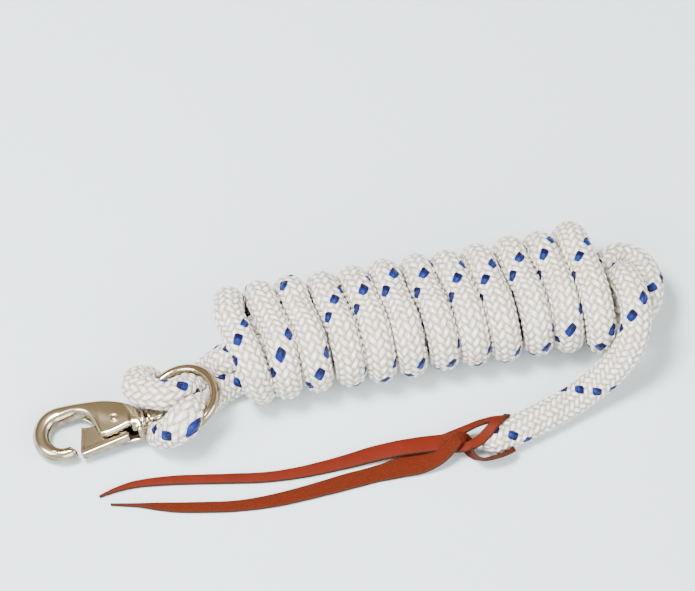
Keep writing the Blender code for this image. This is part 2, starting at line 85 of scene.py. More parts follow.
def spline(points, step):
    """Evenly spaced points on a centripetal Catmull-Rom curve through rows that start with x, y, z."""
    knots = np.asarray(points, float)
    ends = np.vstack([2 * knots[0] - knots[1], knots, 2 * knots[-1] - knots[-2]])
    fine = []
    u = (np.arange(20) / 20)[:, None]
    for i in range(1, len(ends) - 2):
        p0, p1, p2, p3 = ends[i - 1:i + 3]
        t1 = math.sqrt(max(np.linalg.norm(p1 - p0), 1e-6))
        t2 = t1 + math.sqrt(max(np.linalg.norm(p2 - p1), 1e-6))
        t3 = t2 + math.sqrt(max(np.linalg.norm(p3 - p2), 1e-6))
        t = t1 + (t2 - t1) * u
        a1 = p0 * (t1 - t) / t1 + p1 * t / t1
        a2 = p1 * (t2 - t) / (t2 - t1) + p2 * (t - t1) / (t2 - t1)
        a3 = p2 * (t3 - t) / (t3 - t2) + p3 * (t - t2) / (t3 - t2)
        b1 = a1 * (t2 - t) / t2 + a2 * t / t2
        b2 = a2 * (t3 - t) / (t3 - t1) + a3 * (t - t1) / (t3 - t1)
        fine.append(b1 * (t2 - t) / (t2 - t1) + b2 * (t - t1) / (t2 - t1))
    fine = np.vstack(fine + [knots[-1:]])
    lengths = np.concatenate([[0], np.cumsum(np.linalg.norm(np.diff(fine[:, :3], axis=0), axis=1))])
    count = max(2, round(lengths[-1] / step))
    where = np.linspace(0, lengths[-1], count + 1)
    return np.stack([np.interp(where, lengths, fine[:, k]) for k in range(fine.shape[1])], 1)


# ---------------------------------------------------------------- rope route

ROPE_D = 16.0
ROPE_R = ROPE_D / 2
TURNS = 12
PITCH = 16.2
CORE_Z = 23.4
CORE_HALF = 8.0
WRAP_R = 16.0
TURN_POINTS = 24
WIND_FROM, WIND_TO = -0.20, 0.56        # where the winding starts and its last turn ends, in turns

# the eye's throat at the first turn, its lower leg, the hitch round the snap's neck, and its upper leg
EYE_ROUTE = [
    (-86.0, -9.0, 13.5), (-91.2, -10.0, 10.0), (-98.0, -11.6, 8.2), (-104.3, -13.4, 7.6),
    (-111.0, -16.6, 7.8), (-117.4, -21.0, 10.2), (-121.8, -27.2, 17.6), (-124.6, -34.2, 24.6),
    (-128.6, -39.4, 25.2), (-134.4, -39.8, 19.0), (-138.6, -36.4, 11.4), (-140.4, -29.6, 6.4),
    (-140.6, -22.0, 5.4), (-140.0, -13.6, 5.8), (-141.0, -6.8, 10.8), (-145.6, -7.0, 17.8),
    (-147.8, -14.0, 23.6), (-142.8, -20.2, 27.4), (-135.0, -23.2, 27.4), (-128.0, -21.8, 23.8),
    (-122.2, -16.6, 16.2), (-117.2, -10.8, 10.4), (-111.6, -6.4, 9.6), (-106.0, -3.4, 12.4),
    (-99.3, -3.0, 17.6), (-92.8, -3.4, 21.6), (-88.0, -5.0, 23.0),
]
# the end loop of the doubled core, from the front run to the back run
LOOP_ROUTE = [
    (84.0, -8.0, 23.4), (92.0, -8.0, 23.4), (98.6, -8.2, 23.4), (101.8, -11.6, 23.8),
    (103.6, -18.4, 24.0), (109.0, -20.6, 24.0), (115.6, -15.6, 24.0), (118.6, -6.0, 24.0),
    (117.4, 3.6, 24.0), (112.4, 10.8, 24.0), (105.2, 12.4, 24.0), (99.6, 8.6, 23.5), (96.0, 8.0, 23.4),
    (88.0, 8.0, 23.4),
]
# out of the core's left end and round to the back of the first turn
START_ROUTE = [(-82.0, 8.0, 23.4), (-88.0, 8.2, 22.8), (-92.0, 11.2, 20.6), (-93.6, 17.2, 18.8)]
# from under the last turn up through the end loop, over it and down to the floor
TAIL_ROUTE = [
    (98.6, 1.6, 7.6), (103.6, 3.4, 7.8), (107.6, 1.8, 10.2), (108.2, -0.6, 15.0), (106.9, -2.0, 20.5),
    (106.0, -2.6, 27.0), (105.4, -5.4, 34.2), (106.2, -13.0, 39.6), (107.0, -24.0, 40.2),
    (105.0, -34.5, 35.4), (99.8, -42.4, 27.4), (91.5, -47.4, 19.5), (80.5, -51.6, 12.6),
    (68.7, -56.3, 8.6), (51.4, -62.4, 7.8), (33.2, -67.8, 7.8), (25.0, -70.2, 7.6), (18.6, -71.8, 7.2),
]
# how far each turn has moved along the hank, by the share of the turn from its top at the back
ADVANCE_AT = [0.0, 0.06, 0.12, 0.30, 0.50, 0.62, 0.80, 1.0]
ADVANCE = [0.0, 0.10, 0.19, 0.28, 0.36, 0.56, 0.86, 1.0]
# the first turn leans: how far it stands off along the hank, by turns from its top at the back
LEAN_AT = [-0.2, 0.0, 0.12, 0.25, 0.38, 0.55, 0.75, 1.0]
LEAN = [2.0, -2.8, -2.6, 0.0, 2.4, 2.6, 1.0, 0.0]
# how much looser than the others the last turns are
LOOSE_AT = [0.0, 1.0, 8.0, 9.7, 10.6, 11.0, 11.4]
LOOSE = [0.3, 0.0, 0.2, 0.6, 2.0, 3.4, 3.8]


def winding():
    """Points of the twelve turns: over the top to the front, down, under and up the back."""
    flat, arc = 2 * CORE_HALF, math.pi * WRAP_R
    total = 2 * (flat + arc)
    out = []
    for i in range(round(WIND_FROM * TURN_POINTS), round((TURNS - 1 + WIND_TO) * TURN_POINTS) + 1):
        tau = i / TURN_POINTS
        turn = math.floor(tau)
        share = tau - turn
        s = share * total
        if s < flat:
            y, z = CORE_HALF - s, WRAP_R
        elif s < flat + arc:
            a = math.pi / 2 + (s - flat) / WRAP_R
            y, z = -CORE_HALF + WRAP_R * math.cos(a), WRAP_R * math.sin(a)
        elif s < 2 * flat + arc:
            y, z = -CORE_HALF + (s - flat - arc), -WRAP_R
        else:
            a = -math.pi / 2 + (s - 2 * flat - arc) / WRAP_R
            y, z = CORE_HALF + WRAP_R * math.cos(a), WRAP_R * math.sin(a)
        along = turn + np.interp(share, ADVANCE_AT, ADVANCE) - np.interp(0.25, ADVANCE_AT, ADVANCE)
        x = PITCH * (along - (TURNS - 1) / 2) + np.interp(tau, LEAN_AT, LEAN)
        x += 0.5 * math.sin(2.1 * turn + 4.0 * share)
        loose = 0.4 * math.sin(1.7 * turn + 0.6) + np.interp(tau, LOOSE_AT, LOOSE)
        drop = 0.25 if z < 0 else 1.0
        out.append((x, y * (1 + loose / WRAP_R), CORE_Z + z * (1 + drop * loose / WRAP_R)))
    return out


def softened(route, times):
    """The route with its small kinks worked out, ends kept."""
    for _ in range(times):
        route[1:-1] = (route[:-2] + 2 * route[1:-1] + route[2:]) / 4
    return route


ROUTE = softened(spline(EYE_ROUTE + LOOP_ROUTE + START_ROUTE + winding() + TAIL_ROUTE, 1.0), 8)
ROPE_LENGTH = float(np.linalg.norm(np.diff(ROUTE, axis=0), axis=1).sum())


# ---------------------------------------------------------------- where the snap and its eye stand

SNAP_POS = np.array([-146.3, -28.4, 13.0])
SNAP_PITCH = -9.0
RING_POS = np.array([-126.4, -22.8, 18.9])
RING_R = 17.8
RING_WIRE = 2.65
EYE_ROLL = -10.0
RING_OPEN = 136             # degrees each way from the ring's far side to its base


def snap_matrix():
    turn = Matrix.Rotation(math.radians(SNAP_PITCH), 4, "Y")
    return Matrix.Translation(Vector(place(SNAP_POS))) @ turn


def eye_frame():
    """The eye's frame: its swivel at the origin and its ring along X."""
    pivot = Vector(place(SNAP_POS)) + snap_matrix().to_3x3() @ (Vector((-1.2, 0, 0)) * MM)
    along = (Vector(place(RING_POS)) - pivot).normalized()
    across = Vector((0, 0, 1)).cross(along).normalized()
    turn = Matrix((along, across, along.cross(across))).transposed().to_4x4()
    reach = (Vector(place(RING_POS)) - pivot).length / MM
    return Matrix.Translation(pivot) @ turn @ Matrix.Rotation(math.radians(EYE_ROLL), 4, "X"), reach


EYE_PLACE, EYE_REACH = eye_frame()
BASE_X = EYE_REACH + RING_R * math.cos(math.radians(RING_OPEN)) - 1.4


def ring_arc(step):
    """Rows of x, y, z, radius round the open side of the ring, in the eye's frame."""
    angles = np.radians(np.linspace(-RING_OPEN, RING_OPEN, round(2 * RING_OPEN / step) + 1))
    return [(EYE_REACH + RING_R * math.cos(a), RING_R * math.sin(a), 0.0, RING_WIRE) for a in angles]


def hank_points(rows):
    """Points of the eye's frame in hank millimetres."""
    return np.array([np.array(EYE_PLACE @ (Vector(row[:3]) * MM)) / MM - HANK for row in rows])

# ---------------------------------------------------------------- rope mesh

AROUND = 64
LEAD = 43.3                 # millimetres of rope in which one strand goes once round
# how far the rope is twisted, in turns, by millimetres along it: fitted so that the blue marks fall
# where the photo shows them
TWIST_AT = [0.0, 14.0, 60.0, 74.0, 150.0, 160.0, 204.0, 300.0, 606.0, 714.0, 858.0, 1004.0, 1116.0, 1236.0,
            1365.0, 2046.0, 2192.0, 2240.0, 2310.0, 2351.0, 2393.0, 2405.0, 2444.0, 2456.0]
TWIST = [0.64, 0.66, 0.84, 0.92, 1.10, 1.18, 1.48, 1.56, 1.60, 1.65, 1.86, 2.12, 2.42, 2.27,
         2.25, 2.32, 1.70, 1.68, 1.78, 1.84, 1.93, 2.00, 2.08, 2.12]
TWIST_BLUR = 400
CARRIERS = 12               # strands each way
STRAND_EDGE = 1.9           # how steeply a strand falls off at its sides
STRAND_LOW, STRAND_ARCH = 0.4, 0.6
COVER_R = ROPE_R - 0.3
RELIEF = 1.1
END_ROUND = 7.0


def frames(route):
    """Tangents and rotation-minimising normals along the route."""
    tangent = np.gradient(route, axis=0)
    tangent /= np.linalg.norm(tangent, axis=1)[:, None]
    normal = np.zeros_like(route)
    start = np.cross(tangent[0], (0, 0, 1.0))
    normal[0] = start / np.linalg.norm(start)
    for i in range(1, len(route)):
        step = normal[i - 1] - tangent[i] * (normal[i - 1] @ tangent[i])
        normal[i] = step / np.linalg.norm(step)
    return tangent, normal, np.cross(tangent, normal)


def blurred(field, along, around):
    """The radius field softened along the rope and round it."""
    for _ in range(along):
        padded = np.vstack([field[:1], field, field[-1:]])
        field = (padded[:-2] + 2 * padded[1:-1] + padded[2:]) / 4
    for _ in range(around):
        field = (np.roll(field, 1, 1) + 2 * field + np.roll(field, -1, 1)) / 4
    return field


def braid_height(a, b):
    """Height of the braid, 0 to 1, where a and b count the strands that lean each way."""
    i, j = np.floor(a), np.floor(b)
    phase = np.mod(i + j, 4)
    over_a = phase < 2
    across = np.where(over_a, a - i, b - j) - 0.5
    along = np.where(over_a, (phase + b - j) / 2, (phase - 2 + a - i) / 2)
    dome = np.sqrt(np.clip(1 - (STRAND_EDGE * across) ** 2, 0, 1))
    return dome * (STRAND_LOW + STRAND_ARCH * np.sin(np.pi * along))


def rope_mesh(route):
    """The braided surface, pressed flat where the rope meets itself, the ring or the floor."""
    count = len(route)
    tangent, normal, side = frames(route)
    angle = 2 * np.pi * np.arange(AROUND) / AROUND
    radial = normal[:, None] * np.cos(angle)[None, :, None] + side[:, None] * np.sin(angle)[None, :, None]
    radius = np.full((count, AROUND), COVER_R)
    curvature = np.gradient(tangent, axis=0)
    inward = np.einsum("ijk,ik->ij", radial, curvature)
    room = 0.9 / np.maximum(inward, 1e-6)
    wire = hank_points(ring_arc(2.0))
    for i in range(count):
        offset = route - route[i]
        near = np.abs(np.arange(count) - i) > 22
        near &= (offset ** 2).sum(1) < (2.1 * ROPE_R) ** 2
        if near.any():
            w = offset[near]
            reach = radial[i] @ w.T
            limit = (w ** 2).sum(1)[None, :] / (2 * np.maximum(reach, 1e-3))
            room[i] = np.minimum(room[i], 0.985 * limit.min(1))
        w = wire - route[i]
        w = w[(w ** 2).sum(1) < (ROPE_R + 4) ** 2]
        if len(w):
            reach = radial[i] @ w.T
            beside = (w ** 2).sum(1)[None, :] - reach ** 2
            depth = np.sqrt(np.maximum((RING_WIRE + 0.5) ** 2 - beside, 0))
            press = np.where((depth > 0) & (reach > 3.0), reach - depth, 99.0).min(1)
            room[i] = np.minimum(room[i], np.maximum(press, 3.0))
    for _ in range(3):
        radius = np.minimum(radius, room)
        full = COVER_R / np.sqrt((radius ** 2).mean(1))
        radius = np.minimum(radius * np.minimum(full, 1.07)[:, None], ROPE_R * 1.18)
    radius = blurred(np.minimum(radius, room), 3, 2)
    left = (count - 1 - np.arange(count)) * ROPE_LENGTH / (count - 1)
    radius *= np.sqrt(1 - np.clip(1 - left / END_ROUND, 0, 0.97) ** 2)[:, None]
    s = np.arange(count) * (ROPE_LENGTH / (count - 1))
    u = np.arange(AROUND) / AROUND
    twist = blurred(np.interp(s, TWIST_AT, TWIST)[:, None], TWIST_BLUR, 0)[:, 0]
    a = CARRIERS * (u[None, :] + (twist + s / LEAD)[:, None])
    b = CARRIERS * (u[None, :] + (twist - s / LEAD)[:, None])
    radius = radius + RELIEF * (braid_height(a, b) - 0.6)
    points = route[:, None] + radial * radius[:, :, None]
    points[:, :, 2] = np.maximum(points[:, :, 2], 0.2)
    vertices = [tuple(p) for p in place(points.reshape(-1, 3))]
    faces, uvs = [], []
    for i in range(count - 1):
        for k in range(AROUND):
            m = (k + 1) % AROUND
            faces.append((i * AROUND + k, i * AROUND + m, (i + 1) * AROUND + m, (i + 1) * AROUND + k))
            u0, u1 = k / AROUND, (k + 1) / AROUND
            t0, t1 = twist[i], twist[i + 1]
            uvs += [u0 + t0, s[i] * MM, u1 + t0, s[i] * MM, u1 + t1, s[i + 1] * MM, u0 + t1, s[i + 1] * MM]
    for i, order in ((0, -1), (count - 1, 1)):
        vertices.append(tuple(place(route[i])))
        hub = len(vertices) - 1
        for k in range(AROUND):
            pair = (i * AROUND + k, i * AROUND + (k + 1) % AROUND)
            faces.append((hub, *pair[::order]))
            uvs += [k / AROUND, s[i] * MM] * 3
    mesh = bpy.data.meshes.new("rope")
    mesh.from_pydata(vertices, [], faces)
    layer = mesh.uv_layers.new(name="lay")
    layer.data.foreach_set("uv", np.array(uvs, np.float32))
    mesh.shade_smooth()
    mesh.update()
    return mesh


def link(name, mesh):
    item = bpy.data.objects.new(name, mesh)
    bpy.context.scene.collection.objects.link(item)
    return item


# ---------------------------------------------------------------- shader helpers

class Nodes:
    """Short names for building one material's node tree."""

    def __init__(self, name):
        self.material = bpy.data.materials.new(name)
        self.material.use_nodes = True
        self.tree = self.material.node_tree
        self.shader = self.tree.nodes["Principled BSDF"]

    def add(self, kind, **settings):
        node = self.tree.nodes.new(kind)
        for key, value in settings.items():
            setattr(node, key, value)
        return node

    def plug(self, value, socket):
        if isinstance(value, bpy.types.NodeSocket):
            self.tree.links.new(value, socket)
        else:
            socket.default_value = value

    def math(self, operation, *values, clamp=False):
        node = self.add("ShaderNodeMath", operation=operation, use_clamp=clamp)
        for value, socket in zip(values, node.inputs):
            self.plug(value, socket)
        return node.outputs[0]

    def mix(self, factor, first, second):
        node = self.add("ShaderNodeMix", data_type="RGBA")
        self.plug(factor, node.inputs[0])
        self.plug(first, node.inputs[6])
        self.plug(second, node.inputs[7])
        return node.outputs[2]

    def choose(self, factor, first, second):
        node = self.add("ShaderNodeMix", data_type="FLOAT")
        self.plug(factor, node.inputs[0])
        self.plug(first, node.inputs[2])
        self.plug(second, node.inputs[3])
        return node.outputs[0]

    def noise(self, vector, scale, detail=2.0):
        node = self.add("ShaderNodeTexNoise")
        self.plug(vector, node.inputs["Vector"])
        node.inputs["Scale"].default_value = scale
        node.inputs["Detail"].default_value = detail
        return node.outputs[0]

    def bump(self, height, distance, strength=1.0, normal=None):
        node = self.add("ShaderNodeBump")
        node.inputs["Strength"].default_value = strength
        node.inputs["Distance"].default_value = distance
        self.plug(height, node.inputs["Height"])
        if normal is not None:
            self.plug(normal, node.inputs["Normal"])
        return node.outputs[0]

    def set(self, **values):
        for key, value in values.items():
            self.plug(value, self.shader.inputs[key.replace("_", " ")])


MARK_WIDE, MARK_LONG = 0.80, 1.06        # a blue mark's half sides, in strands
FILAMENTS = 7                           # bundles of filament across a strand


def rope_material():
    """White glossy filament braid, twelve strands each way, one of them blue."""
    n = Nodes("rope_braid")
    uv = n.add("ShaderNodeUVMap", uv_map="lay").outputs[0]
    split = n.add("ShaderNodeSeparateXYZ")
    n.plug(uv, split.inputs[0])
    u, v = split.outputs[0], split.outputs[1]
    turn = n.math("DIVIDE", v, LEAD * MM)
    a = n.math("MULTIPLY", n.math("ADD", u, turn), float(CARRIERS))
    b = n.math("MULTIPLY", n.math("SUBTRACT", u, turn), float(CARRIERS))
    i, j = n.math("FLOOR", a), n.math("FLOOR", b)
    fa, fb = n.math("SUBTRACT", a, i), n.math("SUBTRACT", b, j)
    phase = n.math("FLOORED_MODULO", n.math("ADD", i, j), 4.0)
    over_b = n.math("GREATER_THAN", phase, 1.5)
    across = n.math("SUBTRACT", n.choose(over_b, fa, fb), 0.5)
    run = n.choose(over_b, n.math("ADD", phase, fb), n.math("ADD", n.math("SUBTRACT", phase, 2.0), fa))
    arch = n.math("SINE", n.math("MULTIPLY", run, math.pi / 2))
    edge = n.math("MULTIPLY", across, STRAND_EDGE)
    dome = n.math("SQRT", n.math("SUBTRACT", 1.0, n.math("MULTIPLY", edge, edge), clamp=True))
    height = n.math("MULTIPLY", dome, n.math("MULTIPLY_ADD", arch, STRAND_ARCH, STRAND_LOW))
    far_a = n.math("SUBTRACT", n.math("FLOORED_MODULO", n.math("SUBTRACT", a, 1.0), 4.0), 2.0)
    half_way = CARRIERS / 2.0
    shifted = n.math("ADD", b, half_way - 0.5)
    far_b = n.math("SUBTRACT", n.math("FLOORED_MODULO", shifted, float(CARRIERS)), half_way)
    wide = n.math("POWER", n.math("ABSOLUTE", n.math("DIVIDE", far_b, MARK_WIDE)), 4.0)
    long = n.math("POWER", n.math("ABSOLUTE", n.math("DIVIDE", far_a, MARK_LONG)), 4.0)
    blue = n.math("LESS_THAN", n.math("ADD", wide, long), 1.0)
    place_on = n.add("ShaderNodeTexCoord").outputs["Object"]
    apart = n.math("SUBTRACT", i, j)
    cell = n.add("ShaderNodeCombineXYZ")
    n.plug(n.math("FLOORED_MODULO", n.choose(over_b, i, j), float(CARRIERS)), cell.inputs[0])
    n.plug(n.choose(over_b, n.math("ADD", apart, phase), n.math("SUBTRACT", apart, phase)),
           cell.inputs[1])
    n.plug(over_b, cell.inputs[2])
    chance = n.add("ShaderNodeTexWhiteNoise", noise_dimensions="3D")
    n.plug(cell.outputs[0], chance.inputs["Vector"])
    cloud = n.math("MULTIPLY", n.noise(place_on, 90.0), 0.3)
    patch = n.math("MULTIPLY_ADD", chance.outputs["Value"], 0.7, cloud)
    # painted highlight: noisy bright glints on the crown of each float, mixed towards near white below
    glint_noise = n.noise(place_on, 650.0, 3.0)
    crown = n.math("MULTIPLY", n.math("POWER", arch, 1.5), dome)
    painted_glint = n.math("MULTIPLY", crown, n.math("MULTIPLY_ADD", glint_noise, 5.0, -1.9, clamp=True))
    white = n.mix(patch, (0.52, 0.46, 0.38, 1), (0.91, 0.84, 0.735, 1))
    # painted shade: the strands are darkened towards brown down in the valleys between them, by the braid's
    # height
    white = n.mix(n.math("POWER", height, 1.05), (0.25, 0.195, 0.13, 1), white)
    white = n.mix(painted_glint, white, (1.0, 0.985, 0.95, 1))
    # the blue strand's dye, with a painted highlight: one end of each blue float is painted a brighter blue
    painted_glint_end = n.math("MULTIPLY", n.math("ADD", far_a, 0.15), 8.0, clamp=True)
    dye_and_painted_glint = n.mix(painted_glint_end, (0.0004, 0.0008, 0.042, 1), (0.0002, 0.014, 0.14, 1))
    slant = n.math("ADD", across, n.math("MULTIPLY", run, 0.06))
    filament = n.math("SINE", n.math("MULTIPLY", slant, 2 * math.pi * FILAMENTS))
    normal = n.bump(filament, 0.00006, 0.5, n.bump(height, 0.0011, 1.0))
    n.set(Base_Color=n.mix(blue, white, dye_and_painted_glint), Roughness=n.choose(blue, 0.30, 0.42), Normal=normal)
    n.shader.inputs["Specular IOR Level"].default_value = 0.22
    n.shader.inputs["Subsurface Weight"].default_value = 0.03
    n.shader.inputs["Subsurface Radius"].default_value = (0.0012, 0.001, 0.0008)
    n.shader.inputs["Subsurface Scale"].default_value = 1.0
    return n.material


# ---------------------------------------------------------------- leather popper

STRAP_T = 1.9
STRAP_ROUND = 0.55
STRAP_STEP = 0.9
GRAIN_FACE, FLESH_FACE = 3, 11          # which of the section's sides is each broad face
# x, y, z, normal x, y, z, width: the popper's upper tail up to its slit
UPPER_TAIL = [
    (-175.7, -60.0, 1.2, 0, 0, 1, 0.9), (-171.6, -58.9, 1.2, 0, 0, 1, 1.8),
    (-167.4, -57.9, 1.2, 0, 0, 1, 2.5), (-156.9, -56.6, 1.2, 0, 0, 1, 3.9),
    (-144.3, -57.3, 1.2, 0, 0, 1, 4.8), (-129.3, -59.3, 1.2, 0, 0, 1, 5.3),
    (-109.4, -62.7, 1.2, 0, 0, 1, 5.5), (-91.9, -65.3, 1.2, 0, 0, 1, 5.8),
    (-73.1, -66.1, 1.2, 0, 0, 1, 6.4), (-50.4, -64.7, 1.4, 0, 0, 1, 7.8),
    (-36.0, -63.6, 2.3, 0, 0.05, 1, 8.8), (-21.3, -63.6, 3.9, 0, 0.1, 1, 9.3),
    (-6.9, -65.0, 5.4, 0, 0.1, 1, 9.5), (3.0, -66.4, 6.4, 0, 0, 1, 9.0),
]
BAND_BACK = [
    (0.0, -63.6, 6.2, 0, 0, 1, 4.2), (6.6, -62.4, 7.2, 0, 0.1, 1, 4.2),
    (13.2, -61.9, 9.6, 0, 0.2, 1, 4.2), (17.5, -61.9, 12.2, 0, 0.3, 1, 4.2),
    (22.0, -62.2, 14.2, 0, 0.5, 0.9, 4.2), (27.0, -62.0, 14.8, 0.1, 0.7, 0.8, 4.4),
    (31.6, -60.6, 12.6, 0.2, 1, 0.3, 5.0), (33.4, -59.8, 8.6, 0.1, 1, 0, 6.4),
]
BAND_FRONT = [
    (0.0, -69.0, 6.0, 0, 0, 1, 4.4), (6.4, -70.6, 6.2, 0, 0, 1, 4.6),
    (12.4, -71.0, 8.0, -0.3, -0.2, 1, 5.0), (18.0, -71.0, 12.6, -0.5, -0.3, 0.9, 5.4),
    (22.0, -69.2, 16.0, -0.2, -0.2, 1, 5.4), (26.4, -65.8, 17.4, 0, 0.3, 1, 5.0),
    (30.6, -62.2, 15.0, 0.1, 0.8, 0.7, 4.8), (33.0, -60.2, 11.2, 0.1, 1, 0.1, 5.4),
    (33.4, -59.8, 7.6, 0.1, 1, 0, 6.4),
]
THROUGH = [
    (31.0, -59.4, 8.6, 0, 1, 0, 8.6), (34.4, -61.4, 7.6, -0.9, 0.4, 0, 7.4),
    (34.8, -66.6, 7.0, -1, 0, 0, 6.0), (34.2, -72.4, 6.4, -1, -0.2, 0, 5.4),
    (32.2, -76.4, 6.0, -0.5, -0.8, -0.3, 6.4), (28.4, -78.4, 6.4, 0, -0.87, -0.5, 8.8),
    (22.6, -79.2, 6.2, 0, -0.87, -0.5, 9.0), (17.6, -79.0, 6.0, -0.3, -0.8, -0.45, 9.0),
    (14.2, -76.4, 5.6, -0.8, -0.4, -0.3, 8.6), (12.8, -72.6, 4.8, -0.9, 0.1, 0.2, 8.2),
    (12.0, -68.8, 4.2, -0.5, 0, 0.9, 7.0), (10.8, -66.4, 7.4, 0.7, -0.3, 0.7, 6.2),
    (7.0, -67.0, 9.8, 0.1, 0.1, 1, 7.0), (1.6, -70.6, 8.4, -0.4, -0.1, 1, 8.2),
    (-4.6, -73.4, 5.2, -0.4, 0, 1, 8.8), (-12.0, -73.4, 2.4, -0.2, 0, 1, 11.2),
    (-22.6, -73.1, 1.3, 0, 0, 1, 11.4), (-29.6, -73.8, 1.2, 0, 0, 1, 10.2),
    (-38.2, -74.6, 1.2, 0, 0, 1, 9.1), (-52.6, -75.9, 1.2, 0, 0, 1, 9.0),
    (-62.2, -77.0, 1.2, 0, 0, 1, 8.5), (-75.1, -78.3, 1.2, 0, 0, 1, 7.9),
    (-88.2, -79.1, 1.2, 0, 0, 1, 7.2), (-101.2, -79.1, 1.2, 0, 0, 1, 6.5),
    (-112.3, -78.2, 1.2, 0, 0, 1, 6.0), (-126.2, -75.9, 1.2, 0, 0, 1, 5.8),
    (-137.1, -73.9, 1.2, 0, 0, 1, 5.6), (-146.8, -71.4, 1.2, 0, 0, 1, 4.4),
    (-156.6, -68.7, 1.2, 0, 0, 1, 2.2), (-163.4, -67.2, 1.2, 0, 0, 1, 1.5),
    (-171.0, -65.5, 1.2, 0, 0, 1, 0.9),
]


def section(half):
    """A strap's cross-section with softened corners: rows of u, across it, and v, through it."""
    ring = []
    for cx, cy, first in ((1, 1, 0), (-1, 1, 90), (-1, -1, 180), (1, -1, 270)):
        r = min(STRAP_ROUND, half * 0.6)
        for a in (0, 30, 60, 90):
            angle = math.radians(first + a)
            u = cx * (half - r) + r * math.cos(angle)
            v = cy * (STRAP_T / 2 - r) + r * math.sin(angle)
            ring.append((u, v))
    return ring


def strap(name, stations, surface, seed, grain_up=True):
    """A strap through its stations, its edges a little uneven.

    Its "strap" UV says which side a face is on, 1 grain, -1 flesh or 0 a cut edge, and how far along it is.
    """
    samples = spline(stations, STRAP_STEP)
    vertices, faces, uvs = [], [], []
    count = len(samples)
    size = 16
    tangents = np.gradient(samples[:, :3], axis=0)
    for i, row in enumerate(samples):
        tangent = tangents[i] / np.linalg.norm(tangents[i])
        side = np.cross(row[3:6], tangent)
        side /= np.linalg.norm(side)
        normal = np.cross(tangent, side)
        wave = 0.06 * math.sin(0.17 * i + seed) + 0.03 * math.sin(0.41 * i + 2 * seed)
        half = max(row[6] + wave, 0.8) / 2
        cup = 0.05 * math.sin(0.11 * i + seed)
        for u, v in section(half):
            spot = row[:3] + side * (u + 0.5 * wave) + normal * (v + cup * (u / half) ** 2)
            vertices.append((spot[0], spot[1], max(spot[2], 0.05)))
    for i in range(count - 1):
        for k in range(size):
            m = (k + 1) % size
            faces.append((i * size + k, i * size + m, (i + 1) * size + m, (i + 1) * size + k))
            side_of = 1.0 if k == GRAIN_FACE else -1.0 if k == FLESH_FACE else 0.0
            side_of = side_of if grain_up else -side_of
            start, end = i * STRAP_STEP * MM, (i + 1) * STRAP_STEP * MM
            uvs += [side_of, start, side_of, start, side_of, end, side_of, end]
    faces.append(tuple(range(size))[::-1])
    faces.append(tuple(range((count - 1) * size, count * size)))
    uvs += [0.0, 0.0] * (2 * size)
    mesh = bpy.data.meshes.new(name)
    mesh.from_pydata([tuple(v) for v in place(vertices)], [], faces)
    mesh.uv_layers.new(name="strap").data.foreach_set("uv", np.array(uvs, np.float32))
    mesh.shade_smooth()
    mesh.materials.append(surface)
    return link(name, mesh)


def leather_material():
    """Red-brown bridle leather: a fine pebbled grain side, a fibrous flesh side and darker cut edges."""
    n = Nodes("popper_leather")
    spot = n.add("ShaderNodeTexCoord").outputs["Object"]
    split = n.add("ShaderNodeSeparateXYZ")
    n.plug(n.add("ShaderNodeUVMap", uv_map="strap").outputs[0], split.inputs[0])
    flesh = n.math("LESS_THAN", split.outputs[0], -0.5)
    face = n.math("GREATER_THAN", n.math("ABSOLUTE", split.outputs[0]), 0.5)
    cloud = n.noise(spot, 70.0, 4.0)
    grain = n.mix(cloud, (0.078, 0.0052, 0.0004, 1), (0.114, 0.0090, 0.0007, 1))
    fibre = n.noise(spot, 1300.0, 6.0)
    rough = n.mix(fibre, (0.026, 0.0032, 0.0010, 1), (0.128, 0.0165, 0.0032, 1))
    edge = n.mix(n.noise(spot, 900.0, 3.0), (0.022, 0.006, 0.0025, 1), (0.070, 0.018, 0.007, 1))
    colour = n.mix(face, edge, n.mix(flesh, grain, rough))
    pebble = n.add("ShaderNodeTexVoronoi")
    n.plug(spot, pebble.inputs["Vector"])
    pebble.inputs["Scale"].default_value = 1500.0
    height = n.choose(flesh, n.math("MULTIPLY", pebble.outputs["Distance"], 0.5), fibre)
    n.set(Base_Color=colour, Roughness=n.choose(flesh, 0.62, 0.9), Normal=n.bump(height, 0.00022, 0.5))
    n.shader.inputs["Specular IOR Level"].default_value = 0.12
    return n.material


def joined_piece(name, parts):
    """One object from several, keeping their first material and their UVs."""
    with bpy.context.temp_override(active_object=parts[0], selected_editable_objects=parts, object=parts[0]):
        bpy.ops.object.join()
    parts[0].name = name
    return parts[0]


LEATHER = leather_material()
popper = joined_piece("leather_popper_strap", [
    strap("upper_tail", UPPER_TAIL, LEATHER, 0.4), strap("band_back", BAND_BACK, LEATHER, 1.1),
    strap("band_front", BAND_FRONT, LEATHER, 2.3), strap("through", THROUGH, LEATHER, 3.7, False),
])
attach(popper, "lead")
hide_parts("leather_popper")


rope = link("braided_rope", rope_mesh(ROUTE))
rope.data.materials.append(rope_material())
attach(rope, "lead")
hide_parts("rope_wraps", "rope_core_runs", "rope_eye_hitch", "rope_tail")


# ---------------------------------------------------------------- solids from distance fields

def outline_distance(x, y, outline):
    """Signed distance in the plane to a closed outline, negative inside."""
    best = np.full(x.shape, np.inf)
    inside = np.zeros(x.shape, bool)
    ends = np.asarray(outline, float)[:, :2]
    for (ax, ay), (bx, by) in zip(ends, np.roll(ends, -1, 0)):
        ex, ey = bx - ax, by - ay
        wx, wy = x - ax, y - ay
        t = np.clip((wx * ex + wy * ey) / (ex * ex + ey * ey), 0, 1)
        best = np.minimum(best, (wx - ex * t) ** 2 + (wy - ey * t) ** 2)
        if ey:
            inside ^= ((ay > y) != (by > y)) & (wx < ex * wy / ey)
    return np.where(inside, -1, 1) * np.sqrt(best)


